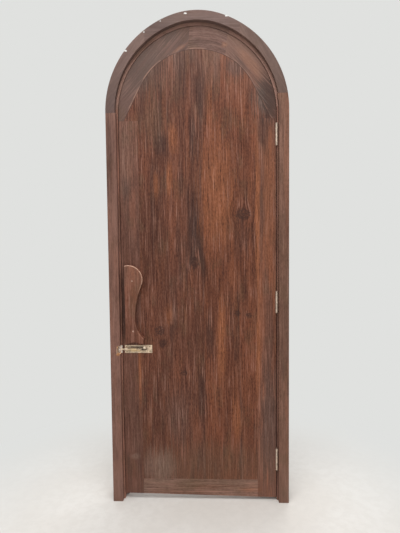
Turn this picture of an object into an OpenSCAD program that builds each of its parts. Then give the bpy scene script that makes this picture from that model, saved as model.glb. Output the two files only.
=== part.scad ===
// Arched wooden door: a lining and casing frame, a flush boarded leaf, three butt hinges and a slide bolt.
// Lengths are in millimetres. X points right, Y points from the seen side into the wall, Z points up.

/* [Opening] */
// Width over the two casings
frame_w = 828; // [800:2:860]
// Height at which the straight sides turn into the arch
spring_z = 1815; // [1790:5:1840]
// Radius of the middle part of the arch, measured on the outside of the casing
crown_r = 344; // [335:1:355]
// Angle from the horizontal at which the side arcs of the arch meet the middle arc
crown_a = 72; // [68:1:75]

/* [Frame section] */
// Width of the straight casing boards
casing_w = 46; // [44:0.5:48]
// Width of the curved casing pieces, which show more of the lining
arch_casing_w = 42; // [40:0.5:46]
// How much lower the lining and the leaf curve than the casing does
arch_drop = 4; // [0:0.5:5]
// Thickness of the casing board
casing_t = 22; // [18:1:26]
// Strip of lining left showing inside the casing
reveal = 6.5; // [6:0.25:8]
// Thickness of the lining beside the leaf
lining_t = 30; // [26:1:34]
// Depth of the lining through the wall
lining_d = 105; // [95:1:120]
// How far the stop stands in behind the leaf
stop_w = 12; // [8:1:16]
// How far the left casing's joint with its arch piece lies under the spring line
joint_drop_l = 2; // [0:1:20]
// How far the right casing's joint with its arch piece lies over the spring line
joint_rise_r = 71; // [40:1:85]

/* [Leaf] */
// Air between the leaf and the lining
leaf_gap = 3; // [2.5:0.25:4]
// Thickness of the leaf
leaf_t = 40; // [36:1:44]
// Width of the stiles
stile_w = 87; // [80:1:95]
// Height of the bottom rail
rail_h = 78; // [70:1:90]
// Height of the leaf's bottom corner on the bolt side
foot_l = 28.8; // [20:0.2:32]
// Height of the leaf's bottom corner on the hinge side
foot_r = 13.9; // [10:0.2:20]
// How far the joint of the stiles with the arched rail lies under the spring line
rail_joint_drop = 33; // [25:1:45]
// Width of the arched rail at the spring line
arch_rail_w = 75.5; // [70:0.5:82]
// Width of the first plank, which was cut narrower to fit
first_plank_w = 51.5; // [45:0.5:60]

/* [Hinges] */
// Height of one butt hinge
hinge_h = 100; // [90:2:110]
// Middle height of the bottom hinge
hinge_low_z = 201; // [185:1:215]
// How far the middle hinge sits below the middle between the other two
hinge_mid_drop = 9; // [0:1:20]
// How far the middle of the top hinge lies under the joint of the arched rail
hinge_top_drop = 73; // [66:1:85]
// Outer radius of the hinge knuckles
knuckle_r = 4.8; // [4.6:0.1:5]
// Distance of the hinge pin in front of the leaf
pin_out = 6; // [5.8:0.1:6.2]

/* [Pull and bolt] */
// Thickness of the wooden pull plate
pull_t = 28; // [24:1:32]
// Width of the worn bevel around the front of the pull plate
pull_bevel = 4; // [2:0.5:6]
// Height of the bolt rod, with the pull plate standing above it
bolt_z = 727; // [715:1:735]
// Radius of the bolt rod
rod_r = 4; // [3.5:0.1:4.4]
// Travel of the bolt
bolt_travel = 25; // [20:1:25]

/* [Hidden] */
$fn = 96;
// The leaf's front face, the lining's front edge and the wall all lie in this plane
face_y = -38;
half_w = frame_w / 2;
// The side arcs touch the straight sides at the spring line and the middle arc at crown_a
haunch_r = (half_w - crown_r * cos(crown_a)) / (1 - cos(crown_a));
haunch_x = haunch_r - half_w;
crown_z = spring_z + (haunch_r - crown_r) * sin(crown_a);
top_z = crown_z + crown_r;
// Distances in from the outline of the casing
lining_in = casing_w + reveal;
leaf_in = lining_in + leaf_gap;
lining_out = lining_in - lining_t;
stop_in = lining_in + stop_w;
leaf_half = half_w - leaf_in;
// Depths of the leaf's back, the stop and the back of the lining
back_y = face_y + leaf_t;
stop_y = back_y + 1;
rear_y = face_y + lining_d;
// A cutter goes this far past the faces that it cuts
past = 1;
// Radial air of a screw or dowel in its hole
fit = 0.05;
// Curved casing and lining pieces meet on upright lines at these distances from the middle
casing_cut_l = 229.5;
casing_cut_r = 195;
lining_cut = 150;
// Heights of the joints between straight and curved pieces
casing_joint_l = spring_z - joint_drop_l;
casing_joint_r = spring_z + joint_rise_r;
lining_joint = spring_z + 20;
rail_joint = spring_z - rail_joint_drop;
bridge = 40;
far = 3000;

// Tongues and grooves lie in the middle third of the leaf's thickness
tongue_t = 10;
tongue_l = 8;
tongue_y0 = face_y + (leaf_t - tongue_t) / 2;
groove_air = 0.2;
stile_x = leaf_half - stile_w;
planks = 7;
// The other planks are alike, to the tenth of a millimetre, and the last one takes the rest
plank_w = round(10 * (2 * stile_x - first_plank_w) / (planks - 1)) / 10;
rail_z = (foot_l + foot_r) / 2 + rail_h;
// The inner edge of the arched rail is a circle that runs out into straight lines at this angle
run_a = 27.5;
rail_in_r = leaf_half - arch_rail_w;
rail_in_z = spring_z - 3;
// The slanted joints of the arched rail's middle segment stand at these shares of its inner radius
seg_x = [-0.12 * rail_in_r, 0.495 * rail_in_r];
seg_up = 45;
seg_z = rail_in_z + rail_in_r + seg_up;
seg_lean = 0.12;
// Each of these joints has two dowels, at these shares of the rail's width there
seg_dowels = [[0.29, 0.74], [0.325, 0.69]];
tenon_l = 60;
tenon_h = 46;
dowel_r = 5;
dowel_in = 8;
dowel_l = 60;

// Hinges
pin_x = half_w - lining_in - leaf_gap / 2;
pin_y = face_y - pin_out;
pin_r = 2.5;
pin_head = 1;
plate_t = 1.25;
plate_w = 34;
plate_y = face_y - pin_out + knuckle_r + 0.5;
knuckles = 5;
hinge_top_z = rail_joint - hinge_top_drop;
hinge_z = [hinge_low_z, (hinge_low_z + hinge_top_z) / 2 - hinge_mid_drop, hinge_top_z];
knuckle_h = hinge_h / knuckles;
knuckle_air = 0.3;
hinge_screw = [[12, 38], [26, 14], [26, -14], [12, -38]];

// Wood screws of the hinges, the pull and the bolt: head radius, shank radius and length
hinge_head_r = 3.4;
hinge_shank_r = 1.8;
hinge_screw_l = 25;
pull_head_r = 4;
pull_shank_r = 2;
pull_screw_l = 50;
bolt_head_r = 3;
bolt_shank_r = 1.5;
bolt_screw_l = 16;

// Pull plate: a quarter-round lobe on top, a waist of two arcs and a foot with a shallow arch under it
// Its places across the leaf are measured from the edge of the leaf on the bolt side
edge_x = -leaf_half;
pull_in = 18.5;
pull_w = 83;
pull_x0 = edge_x + pull_in;
pull_x1 = pull_x0 + pull_w;
pull_up = 31;
pull_z0 = bolt_z + pull_up;
lobe_up = 298;
lobe_r = 67;
lobe_x = pull_x1 - lobe_r;
lobe_z = pull_z0 + lobe_up;
waist_up = 115;
waist_w = 45;
waist_x = pull_x0 + waist_w;
waist_z = pull_z0 + waist_up;
low_scoop_r = 128;
// The waist's upper arc just cuts into the lobe, so that the two meet in a line
lobe_bite = 0.3;
lobe_side = waist_x - lobe_x;
lobe_rise = lobe_z - waist_z;
lobe_left = lobe_r - lobe_bite;
lobe_way = sqrt(lobe_rise * lobe_rise + lobe_side * lobe_side);
high_scoop_r = (lobe_way * lobe_way - lobe_left * lobe_left) / (2 * (lobe_left - lobe_side));
// Height at which the two arcs run into each other
lobe_touch_z = lobe_z - lobe_r * lobe_rise / (high_scoop_r + lobe_r);
foot_arch_w = 52;
foot_arch_h = 7;
foot_arch_r = (foot_arch_w * foot_arch_w / 4 + foot_arch_h * foot_arch_h) / (2 * foot_arch_h);
high_screw_drop = 6;
low_screw_up = 58;
pull_screw_x = pull_x0 + 34;
pull_screws = [[pull_screw_x, lobe_z - high_screw_drop], [pull_screw_x + 2, pull_z0 + low_screw_up]];

// Bolt: drawn back, its rod ends this far inside the edge of the leaf
bolt_home = 2.5;
rod_x0 = edge_x + bolt_home - bolt_travel;
rod_y = face_y - 7;
knob_in = 104.5;
knob_x = edge_x + knob_in;
rod_end = 6;
rod_x1 = knob_x + rod_end;
plate_in = 8.5;
plate_x0 = edge_x + plate_in;
bolt_plate_l = 129;
bolt_plate_h = 37;
bolt_plate_t = 1.6;
guide_s = [0, 74];
guide_l = [17, 14];
guide_t = 2;
rod_air = 0.25;
bolt_screws = [[9, 13], [9, -13], [118, 11], [118, -11]];
knob_r = 7;
knob_stem = 15;
knob_tilt = 40;
keeper_l = 21;
keeper_h = 35;
keeper_loop = 9;
keeper_x0 = lining_in - half_w - keeper_l;
keeper_screw_z = 13;
// Air round the keeper in its notch in the casing
notch_air = 0.4;

// Fixing holes through the linings, behind the stop's front edge
fix_y = stop_y + 32;
fix_z = 150;
fix_count = 4;
fix_step = (spring_z - 15 - fix_z) / (fix_count - 1);
fix_r = 3.25;

stain = [0.43, 0.27, 0.21];
stain_light = [0.5, 0.31, 0.22];
stain_grey = [0.45, 0.36, 0.32];
metal = [0.78, 0.72, 0.6];
steel = [0.7, 0.7, 0.68];

// Stands a flat drawing up: its second axis becomes Z, and it fills the depths y0 to y1
module slab(y0, y1) {
  translate([0, y1, 0])
    rotate([90, 0, 0])
      linear_extrude(y1 - y0)
        children();
}

// A flat rectangle between two corners
module patch(x0, z0, x1, z1) {
  polygon([[x0, z0], [x1, z0], [x1, z1], [x0, z1]]);
}

// The door's outline, moved inward: straight sides, two side arcs and the middle arc
module arch_block(in, y0, y1, z0 = 0, drop = 0) {
  side = half_w - in;
  side_z = spring_z - drop;
  meet_z = crown_z - drop + (crown_r - in) * sin(crown_a);
  slab(y0, y1)
    patch(-side, z0, side, side_z);
  slab(y0, y1)
    intersection() {
      translate([-haunch_x, side_z])
        circle(r = haunch_r - in, $fn = 240);
      translate([haunch_x, side_z])
        circle(r = haunch_r - in, $fn = 240);
      patch(-half_w, side_z, half_w, meet_z);
    }
  slab(y0, y1)
    intersection() {
      translate([0, crown_z - drop])
        circle(r = crown_r - in, $fn = 240);
      patch(-half_w, meet_z, half_w, top_z);
    }
  // A block across the line where the arcs meet makes the whole one solid
  slab(y0, y1)
    patch(-bridge, meet_z - bridge, bridge, meet_z + bridge / 10);
}

// The strip of the outline between two distances in, cut to one piece
module band_piece(outer, inner, y0, y1, x0, z0, x1, z1, drop) {
  intersection() {
    difference() {
      arch_block(outer, y0, y1, 0, drop);
      arch_block(inner, y0 - past, y1 + past, -past, drop);
    }
    slab(y0, y1)
      patch(x0, z0, x1, z1);
  }
}

// Lining with its stop, cut to one piece
module lining_solid(x0, z0, x1, z1) {
  band_piece(lining_out, lining_in, face_y, rear_y, x0, z0, x1, z1, arch_drop);
  band_piece(lining_in, stop_in, stop_y, rear_y, x0, z0, x1, z1, arch_drop);
}

// Countersunk fixing holes along one jamb, drilled towards the wall
module fixing_holes(side) {
  inner = half_w - stop_in;
  for (i = [0 : fix_count - 1])
    translate([side * inner, fix_y, fix_z + i * fix_step])
      rotate([0, side * 90, 0]) {
        translate([0, 0, -past])
          cylinder(r = fix_r, h = lining_t + stop_w + 2 * past, $fn = 32);
        translate([0, 0, -0.01])
          cylinder(r1 = 2 * fix_r, r2 = fix_r, h = fix_r, $fn = 32);
      }
}

module jamb_lining_left() {
  color(stain)
    difference() {
      lining_solid(-half_w, 0, 0, lining_joint);
      fixing_holes(-1);
      keeper_holes();
    }
}

module jamb_lining_right() {
  color(stain)
    difference() {
      lining_solid(0, 0, half_w, lining_joint);
      fixing_holes(1);
      hinge_holes(1);
    }
}

module head_lining_left() {
  color(stain)
    lining_solid(-half_w, lining_joint, -lining_cut, top_z);
}

module head_lining_crown() {
  color(stain)
    lining_solid(-lining_cut, lining_joint, lining_cut, top_z);
}

module head_lining_right() {
  color(stain)
    lining_solid(lining_cut, lining_joint, half_w, top_z);
}

// One piece of the casing, between upright and level cuts
module casing_piece(width, x0, z0, x1, z1) {
  band_piece(0, width, face_y - casing_t, face_y, x0, z0, x1, z1, 0);
}

module casing_left() {
  edge = half_w - casing_w;
  notch_top = keeper_h / 2 + notch_air;
  color(stain_grey)
    difference() {
      casing_piece(casing_w, -half_w, 0, 0, casing_joint_l);
      slab(face_y - casing_t - past, face_y + past)
        patch(keeper_x0 - notch_air, bolt_z - notch_top, -edge + past, bolt_z + notch_top);
    }
}

module casing_right() {
  color(stain_grey)
    casing_piece(casing_w, 0, 0, half_w, casing_joint_r);
}

module casing_arch_left() {
  color(stain_grey)
    casing_piece(arch_casing_w, -half_w, casing_joint_l, -casing_cut_l, top_z);
}

module casing_crown() {
  color(stain_grey)
    casing_piece(arch_casing_w, -casing_cut_l, casing_joint_r, casing_cut_r, top_z);
}

module casing_arch_right() {
  color(stain_grey)
    casing_piece(arch_casing_w, casing_cut_r, casing_joint_r, half_w, top_z);
}

// A wood screw with a countersunk head, its head face at the origin and its tip along +Z
module screw(head_r, shank_r, length) {
  head_h = head_r - shank_r;
  cylinder(r1 = head_r, r2 = shank_r, h = head_h, $fn = 24);
  translate([0, 0, head_h])
    cylinder(r = shank_r, h = length - head_h - shank_r, $fn = 24);
  translate([0, 0, length - shank_r])
    cylinder(r1 = shank_r, r2 = shank_r / 4, h = shank_r, $fn = 24);
}

// Where the hinge screws go: side is 1 for the frame and -1 for the leaf
module at_hinge_screws(side, heights) {
  for (z = heights)
    for (s = hinge_screw)
      translate([pin_x + side * (leaf_gap / 2 - plate_t), face_y + s[0], z + s[1]])
        rotate([0, side * 90, 0])
          children();
}

// A countersunk hole for a screw: the sink in the plate and the shank's hole behind it
module screw_hole(head_r, shank_r, length) {
  translate([0, 0, -0.01])
    cylinder(r1 = head_r + fit, r2 = shank_r + fit, h = head_r - shank_r + 0.02, $fn = 24);
  cylinder(r = shank_r + fit, h = length, $fn = 24);
}

// Holes in the wood for the hinge screws, whose heads reach a little deeper than the plate
module hinge_holes(side) {
  at_hinge_screws(side, hinge_z)
    screw_hole(hinge_head_r, hinge_shank_r, hinge_screw_l + past);
}

module hinge_frame_screws() {
  color(metal)
    at_hinge_screws(1, hinge_z)
      screw(hinge_head_r, hinge_shank_r, hinge_screw_l);
}

module hinge_leaf_screws() {
  color(metal)
    at_hinge_screws(-1, hinge_z)
      screw(hinge_head_r, hinge_shank_r, hinge_screw_l);
}

// One plate of a butt hinge with every second knuckle: the frame side has the outer ones
module hinge_plate(side, z) {
  first = side > 0 ? 0 : 1;
  inner = leaf_gap / 2 - plate_t;
  x0 = side > 0 ? pin_x + inner : pin_x - leaf_gap / 2;
  bottom = z - hinge_h / 2;
  difference() {
    union() {
      translate([x0, plate_y, bottom])
        cube([plate_t, plate_w, hinge_h]);
      for (k = [first : 2 : knuckles - 1])
        translate([0, 0, bottom + k * knuckle_h + knuckle_air / 2]) {
          translate([pin_x, pin_y, 0])
            cylinder(r = knuckle_r, h = knuckle_h - knuckle_air, $fn = 48);
          translate([x0, pin_y, 0])
            cube([plate_t, plate_y - pin_y + past, knuckle_h - knuckle_air]);
        }
    }
    translate([pin_x, pin_y, bottom - past])
      cylinder(r = pin_r + fit, h = hinge_h + 2 * past, $fn = 48);
    at_hinge_screws(side, [z])
      screw_hole(hinge_head_r, hinge_shank_r, plate_t + past);
  }
}

module hinge_bottom_frame_plate() {
  color(metal)
    hinge_plate(1, hinge_z[0]);
}

module hinge_middle_frame_plate() {
  color(metal)
    hinge_plate(1, hinge_z[1]);
}

module hinge_top_frame_plate() {
  color(metal)
    hinge_plate(1, hinge_z[2]);
}

module hinge_bottom_leaf_plate() {
  color(metal)
    hinge_plate(-1, hinge_z[0]);
}

module hinge_middle_leaf_plate() {
  color(metal)
    hinge_plate(-1, hinge_z[1]);
}

module hinge_top_leaf_plate() {
  color(metal)
    hinge_plate(-1, hinge_z[2]);
}

// A pin through the knuckles, riveted over at each end
module hinge_pin(z) {
  translate([pin_x, pin_y, z - hinge_h / 2]) {
    cylinder(r = pin_r, h = hinge_h, $fn = 48);
    translate([0, 0, hinge_h])
      cylinder(r1 = knuckle_r - 0.6, r2 = pin_r, h = pin_head, $fn = 48);
    translate([0, 0, -pin_head])
      cylinder(r1 = pin_r, r2 = knuckle_r - 0.6, h = pin_head, $fn = 48);
  }
}

module hinge_bottom_pin() {
  color(metal)
    hinge_pin(hinge_z[0]);
}

module hinge_middle_pin() {
  color(metal)
    hinge_pin(hinge_z[1]);
}

module hinge_top_pin() {
  color(metal)
    hinge_pin(hinge_z[2]);
}

// The half of the drawing above the leaf's slanted bottom edge
module above_foot() {
  slope = (foot_l - foot_r) / (2 * leaf_half);
  mid = (foot_l + foot_r) / 2;
  polygon([
    [-half_w, mid + slope * half_w],
    [half_w, mid - slope * half_w],
    [half_w, far],
    [-half_w, far]
  ]);
}

// The planks' field, grown outward by a tongue or a groove
module field_block(out, y0, y1) {
  touch_z = rail_in_z + (rail_in_r + out) * sin(run_a);
  side = (rail_in_r + out) * cos(run_a);
  drop = (touch_z - rail_joint) * tan(run_a);
  slab(y0, y1)
    patch(-stile_x - out, rail_z - out, stile_x + out, rail_joint - out);
  slab(y0, y1)
    polygon([
      [-side - drop, rail_joint - out],
      [side + drop, rail_joint - out],
      [side, touch_z],
      [-side, touch_z]
    ]);
  slab(y0, y1)
    intersection() {
      translate([0, rail_in_z])
        circle(r = rail_in_r + out, $fn = 240);
      patch(-half_w, touch_z, half_w, top_z);
    }
}

// Stiles and rails as one flat ring, cut to one piece by the drawing that follows
module ring_piece() {
  difference() {
    intersection() {
      arch_block(leaf_in, face_y, back_y, 0, arch_drop);
      slab(face_y, back_y)
        intersection() {
          above_foot();
          children();
        }
    }
    field_block(0, face_y - past, back_y + past);
    field_block(tongue_l + groove_air, tongue_y0 - groove_air, tongue_y0 + tongue_t + groove_air);
  }
}

// Tenons of the bottom rail, or the mortises for them
module rail_tenon(side, air) {
  z0 = rail_z - tongue_l - groove_air - tenon_h;
  translate([side * (stile_x + tenon_l / 2 + air / 2 - past), face_y + leaf_t / 2, z0 + tenon_h / 2])
    cube([tenon_l + air + 2 * past, tongue_t + 2 * air, tenon_h + 2 * air], center = true);
}

// Dowels across the joints of the arched rail
module at_dowels() {
  for (s = [-1, 1])
    translate([s * (leaf_half - dowel_in), face_y + leaf_t / 2, rail_joint])
      children();
  for (i = [0, 1]) {
    low = rail_in_z + sqrt(rail_in_r * rail_in_r - seg_x[i] * seg_x[i]);
    leaf_r = crown_r - leaf_in;
    high = crown_z - arch_drop + sqrt(leaf_r * leaf_r - seg_x[i] * seg_x[i]);
    for (share = seg_dowels[i]) {
      z = low + share * (high - low);
      translate([seg_x[i] + (z - seg_z) * seg_lean, face_y + leaf_t / 2, z])
        rotate([0, 90, 0])
          children();
    }
  }
}

module dowel(air) {
  cylinder(r = dowel_r + air, h = dowel_l + 20 * air, center = true, $fn = 32);
}

module arch_dowels() {
  color(stain_light)
    at_dowels()
      dowel(0);
}

module dowel_holes() {
  at_dowels()
    dowel(fit);
}

module stile_left() {
  color(stain)
    difference() {
      ring_piece()
        patch(-half_w, 0, -stile_x, rail_joint);
      rail_tenon(-1, groove_air);
      dowel_holes();
      bolt_holes();
      pull_holes();
    }
}

module stile_right() {
  color(stain)
    difference() {
      ring_piece()
        patch(stile_x, 0, half_w, rail_joint);
      rail_tenon(1, groove_air);
      dowel_holes();
      hinge_holes(-1);
    }
}

module bottom_rail() {
  color(stain) {
    ring_piece()
      patch(-stile_x, 0, stile_x, rail_z);
    rail_tenon(-1, 0);
    rail_tenon(1, 0);
  }
}

// The side of a slanted joint of the arched rail: the drawing left or right of it
module beside(x, side) {
  low = x - (seg_z - rail_joint) * seg_lean;
  high = x + (top_z - seg_z) * seg_lean;
  edge = side * half_w;
  polygon([[low, rail_joint], [high, top_z], [edge, top_z], [edge, rail_joint]]);
}

module arch_rail_left() {
  color(stain)
    difference() {
      ring_piece()
        beside(seg_x[0], -1);
      dowel_holes();
    }
}

module arch_rail_crown() {
  color(stain)
    difference() {
      ring_piece()
        intersection() {
          beside(seg_x[0], 1);
          beside(seg_x[1], -1);
        }
      dowel_holes();
    }
}

module arch_rail_right() {
  color(stain)
    difference() {
      ring_piece()
        beside(seg_x[1], 1);
      dowel_holes();
    }
}

// One plank of the field: flush faces, a tongue all round the field and on its right edge
module plank(i) {
  joint = -stile_x + first_plank_w + i * plank_w;
  x0 = i == 0 ? -half_w : joint - plank_w;
  x1 = i == planks - 1 ? half_w : joint;
  tip = i == planks - 1 ? half_w : x1 + tongue_l;
  color(stain_light)
    difference() {
      union() {
        intersection() {
          field_block(0, face_y, back_y);
          slab(face_y, back_y)
            patch(x0, 0, x1, top_z);
        }
        intersection() {
          field_block(tongue_l, tongue_y0, tongue_y0 + tongue_t);
          slab(face_y, back_y)
            patch(x0, 0, tip, top_z);
        }
      }
      if (i > 0)
        slab(tongue_y0 - groove_air, tongue_y0 + tongue_t + groove_air)
          patch(x0 - past, 0, x0 + tongue_l + groove_air, top_z);
      if (i == 0)
        bolt_holes();
    }
}

module plank_1() {
  plank(0);
}

module plank_2() {
  plank(1);
}

module plank_3() {
  plank(2);
}

module plank_4() {
  plank(3);
}

module plank_5() {
  plank(4);
}

module plank_6() {
  plank(5);
}

module plank_7() {
  plank(6);
}

// A round cutter through the pull plate, with its bevel
module scoop(r) {
  translate([waist_x + r, waist_z, -past])
    cylinder(r = r, h = pull_t + 2 * past, $fn = 240);
  translate([waist_x + r, waist_z, pull_t - pull_bevel])
    cylinder(r1 = r, r2 = r + pull_bevel + past, h = pull_bevel + past, $fn = 240);
}

// The lobe, bevelled round its front
module lobe() {
  translate([lobe_x, lobe_z, 0])
    cylinder(r = lobe_r, h = pull_t - pull_bevel, $fn = 96);
  translate([lobe_x, lobe_z, pull_t - pull_bevel])
    cylinder(r1 = lobe_r, r2 = lobe_r - pull_bevel, h = pull_bevel, $fn = 96);
}

// The part of the pull plate above its waist, and the part below it
module pull_top() {
  difference() {
    union() {
      lobe();
      translate([pull_x0, waist_z, 0])
        cube([pull_w, lobe_touch_z - waist_z, pull_t]);
    }
    scoop(high_scoop_r);
  }
}

module pull_foot() {
  difference() {
    translate([pull_x0, pull_z0, 0])
      cube([pull_w, waist_up, pull_t]);
    scoop(low_scoop_r);
    translate([pull_x0 + pull_w / 2, pull_z0 + foot_arch_h - foot_arch_r, -past])
      cylinder(r = foot_arch_r, h = pull_t + 2 * past, $fn = 96);
    bevel_cut([pull_x1, 0, pull_t], [0, 45, 0]);
  }
}

// Pull plate: drawn lying on its back, then stood up against the leaf
module pull_plate() {
  color(stain_light)
    difference() {
      translate([0, face_y, 0])
        rotate([90, 0, 0])
          difference() {
            union() {
              pull_top();
              pull_foot();
            }
            translate([pull_x0 - lobe_r, pull_z0 - past, -past])
              cube([lobe_r, far / 2, pull_t + 2 * past]);
            bevel_cut([pull_x0, 0, pull_t], [0, -45, 0]);
            translate([0, pull_z0, pull_t - pull_bevel])
              rotate([45, 0, 0])
                translate([-half_w, -far / 10, 0])
                  cube([half_w, far / 10, far / 10]);
          }
      pull_holes();
    }
}

// A wedge that bevels an upright edge of the pull plate
module bevel_cut(edge, turn) {
  s = turn[1] < 0 ? 1 : -1;
  translate([edge[0], 0, edge[2] - pull_bevel])
    rotate(turn)
      translate([s > 0 ? -far / 10 : 0, 0, 0])
        cube([far / 10, far / 2, far / 10]);
}

module at_pull_screws() {
  for (p = pull_screws)
    translate([p[0], face_y - pull_t, p[1]])
      rotate([-90, 0, 0])
        children();
}

module pull_holes() {
  at_pull_screws()
    screw_hole(pull_head_r, pull_shank_r, pull_screw_l + past);
}

module pull_screws() {
  color(steel)
    at_pull_screws()
      screw(pull_head_r, pull_shank_r, pull_screw_l);
}

module at_bolt_screws() {
  for (p = bolt_screws)
    translate([plate_x0 + p[0], face_y - bolt_plate_t, bolt_z + p[1]])
      rotate([-90, 0, 0])
        children();
}

module bolt_holes() {
  at_bolt_screws()
    cylinder(r = bolt_shank_r + fit, h = bolt_screw_l + past, $fn = 24);
}

module bolt_screws() {
  color(metal)
    at_bolt_screws()
      screw(bolt_head_r, bolt_shank_r, bolt_screw_l);
}

module bolt_plate() {
  color(metal)
    difference() {
      translate([plate_x0, face_y - bolt_plate_t, bolt_z - bolt_plate_h / 2])
        cube([bolt_plate_l, bolt_plate_t, bolt_plate_h]);
      at_bolt_screws()
        screw_hole(bolt_head_r, bolt_shank_r, bolt_plate_t + past);
    }
}

// A strap over the rod, standing on a plate whose front lies at y
module strap(x, length, y, foot_h) {
  difference() {
    union() {
      translate([x, rod_y, bolt_z])
        rotate([0, 90, 0])
          cylinder(r = rod_r + rod_air + guide_t, h = length, $fn = 48);
      translate([x, rod_y, bolt_z - rod_r - rod_air - guide_t])
        cube([length, y - rod_y, 2 * (rod_r + rod_air + guide_t)]);
      translate([x, y - guide_t / 2, bolt_z - foot_h / 2])
        cube([length, guide_t / 2, foot_h]);
    }
    translate([x - past, rod_y, bolt_z])
      rotate([0, 90, 0])
        cylinder(r = rod_r + rod_air, h = length + 2 * past, $fn = 48);
    translate([x - past, y, bolt_z - foot_h])
      cube([length + 2 * past, 20, 2 * foot_h]);
  }
}

module bolt_guides() {
  color(metal)
    for (i = [0, 1])
      strap(plate_x0 + guide_s[i], guide_l[i], face_y - bolt_plate_t, 18);
}

module bolt_keeper() {
  color(metal)
    difference() {
      union() {
        translate([keeper_x0, face_y - bolt_plate_t, bolt_z - keeper_h / 2])
          cube([keeper_l, bolt_plate_t, keeper_h]);
        strap(keeper_x0 + (keeper_l - keeper_loop) / 2, keeper_loop, face_y - bolt_plate_t, 18);
      }
      at_keeper_screws()
        screw_hole(bolt_head_r, bolt_shank_r, bolt_plate_t + past);
    }
}

module at_keeper_screws() {
  for (s = [-1, 1])
    translate([keeper_x0 + keeper_l / 2, face_y - bolt_plate_t, bolt_z + s * keeper_screw_z])
      rotate([-90, 0, 0])
        children();
}

module keeper_holes() {
  at_keeper_screws()
    cylinder(r = bolt_shank_r + fit, h = bolt_screw_l + past, $fn = 24);
}

module keeper_screws() {
  color(metal)
    at_keeper_screws()
      screw(bolt_head_r, bolt_shank_r, bolt_screw_l);
}

module bolt_rod() {
  color(metal)
    difference() {
      union() {
        translate([rod_x0 + 2, rod_y, bolt_z])
          rotate([0, 90, 0])
            cylinder(r = rod_r, h = rod_x1 - rod_x0 - 2, $fn = 48);
        translate([rod_x0, rod_y, bolt_z])
          rotate([0, 90, 0])
            cylinder(r1 = rod_r - 1.5, r2 = rod_r, h = 2, $fn = 48);
      }
      at_knob()
        cylinder(r = 1.8 + fit, h = far, $fn = 24);
    }
}

module at_knob() {
  translate([knob_x, rod_y, bolt_z])
    rotate([90 - knob_tilt, 0, 0])
      children();
}

// The knob: a ball on a stem that screws into the rod and points forward and up
module bolt_knob() {
  color(metal)
    at_knob() {
      cylinder(r = 1.8, h = knob_stem, $fn = 24);
      translate([0, 0, rod_r + 0.5])
        cylinder(r1 = 3.4, r2 = 2.4, h = 4, $fn = 24);
      translate([0, 0, knob_stem])
        sphere(r = knob_r, $fn = 32);
    }
}

jamb_lining_left();
jamb_lining_right();
head_lining_left();
head_lining_crown();
head_lining_right();
casing_left();
casing_right();
casing_arch_left();
casing_crown();
casing_arch_right();
hinge_bottom_frame_plate();
hinge_middle_frame_plate();
hinge_top_frame_plate();
hinge_bottom_pin();
hinge_middle_pin();
hinge_top_pin();
hinge_frame_screws();
bolt_keeper();
keeper_screws();
stile_left();
stile_right();
bottom_rail();
arch_rail_left();
arch_rail_crown();
arch_rail_right();
arch_dowels();
plank_1();
plank_2();
plank_3();
plank_4();
plank_5();
plank_6();
plank_7();
hinge_bottom_leaf_plate();
hinge_middle_leaf_plate();
hinge_top_leaf_plate();
hinge_leaf_screws();
pull_plate();
pull_screws();
bolt_plate();
bolt_guides();
bolt_screws();
bolt_rod();
bolt_knob();
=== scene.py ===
import math

import bpy
from mathutils import Matrix, Vector


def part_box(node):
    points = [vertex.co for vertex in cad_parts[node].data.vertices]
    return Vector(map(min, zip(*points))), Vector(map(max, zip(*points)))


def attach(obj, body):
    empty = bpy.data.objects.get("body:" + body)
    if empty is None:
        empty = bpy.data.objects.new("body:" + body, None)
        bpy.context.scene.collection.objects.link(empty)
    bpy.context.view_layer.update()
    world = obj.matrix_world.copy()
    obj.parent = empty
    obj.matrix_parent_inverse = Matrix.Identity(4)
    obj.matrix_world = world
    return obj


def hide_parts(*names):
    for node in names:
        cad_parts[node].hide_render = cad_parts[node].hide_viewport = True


# Arched wooden door in its frame. Lengths are in metres: X to the right, Y away from the viewer,
# Z up. Colours are written as the 0 to 255 values of a screen, and angles in degrees.

# Camera: focal length and height of the photograph in its own pixels, the sensor's width in
# millimetres, and the place and angles from which the photograph was taken
FOCAL = 400
PHOTO_HEIGHT = 533
SENSOR = 36
EYE = (0.069, -1.889, 1.206)
PITCH = -2.88
YAW = -1.9
ROLL = -0.58

# Room: the plain background, the floor with the cloudy and speckled tones in it, and half the
# floor's width. It fades into the background between two distances from a spot before the door.
BACK = (224, 225, 223)
FLOOR = (229, 225, 219)
FLOOR_CLOUD = (224, 219, 212)
FLOOR_SPECK = (217, 212, 205)
FLOOR_HALF = 9.0
FADE_SPOT_Y = -0.35
FADE_FROM = 0.55
FADE_TO = 1.5

# Light: an even, pale sky, and round lamps with the place, aim and watts of each
SKY = (0.97, 0.985, 1.0, 1.0)
SKY_POWER = 0.71
LAMP_WIDTH = 2.4
LAMPS = {
    "key": ((-0.3, -3.2, 3.9), (0, 0, 1.2), 15),
    "top": ((0, -1.6, 4.2), (0, -0.5, 0), 80),
    "rear": ((1.5, 3.2, 3.0), (0, 0, 1.2), 33),
}

# Colours in the stained softwood: the grooves and crests of its fine grain, its knots and joints,
# its broad regions and the weather on it
GROOVE = (45, 16, 10)
SHEEN = (190, 146, 130)
DARK = (58, 36, 30)
ORANGE = (146, 87, 58)
PLUM = (76, 53, 45)
OLIVE = (94, 72, 52)
DUST = (126, 103, 92)

# Colours where it is worn: cut or chipped wood, rubbed edges and old paint. The cut wood in the keeper's
# notch is laid lighter than its own colour as painted light, and the rubbed edge of the pull carries a
# painted highlight
RAW = (222, 184, 146)
CHIP = (172, 118, 76)
NICK = (190, 160, 138)
RUBBED_AND_HIGHLIGHT = (196, 156, 134)
ARRIS = (150, 114, 98)
PAINT = (226, 226, 222)

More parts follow.
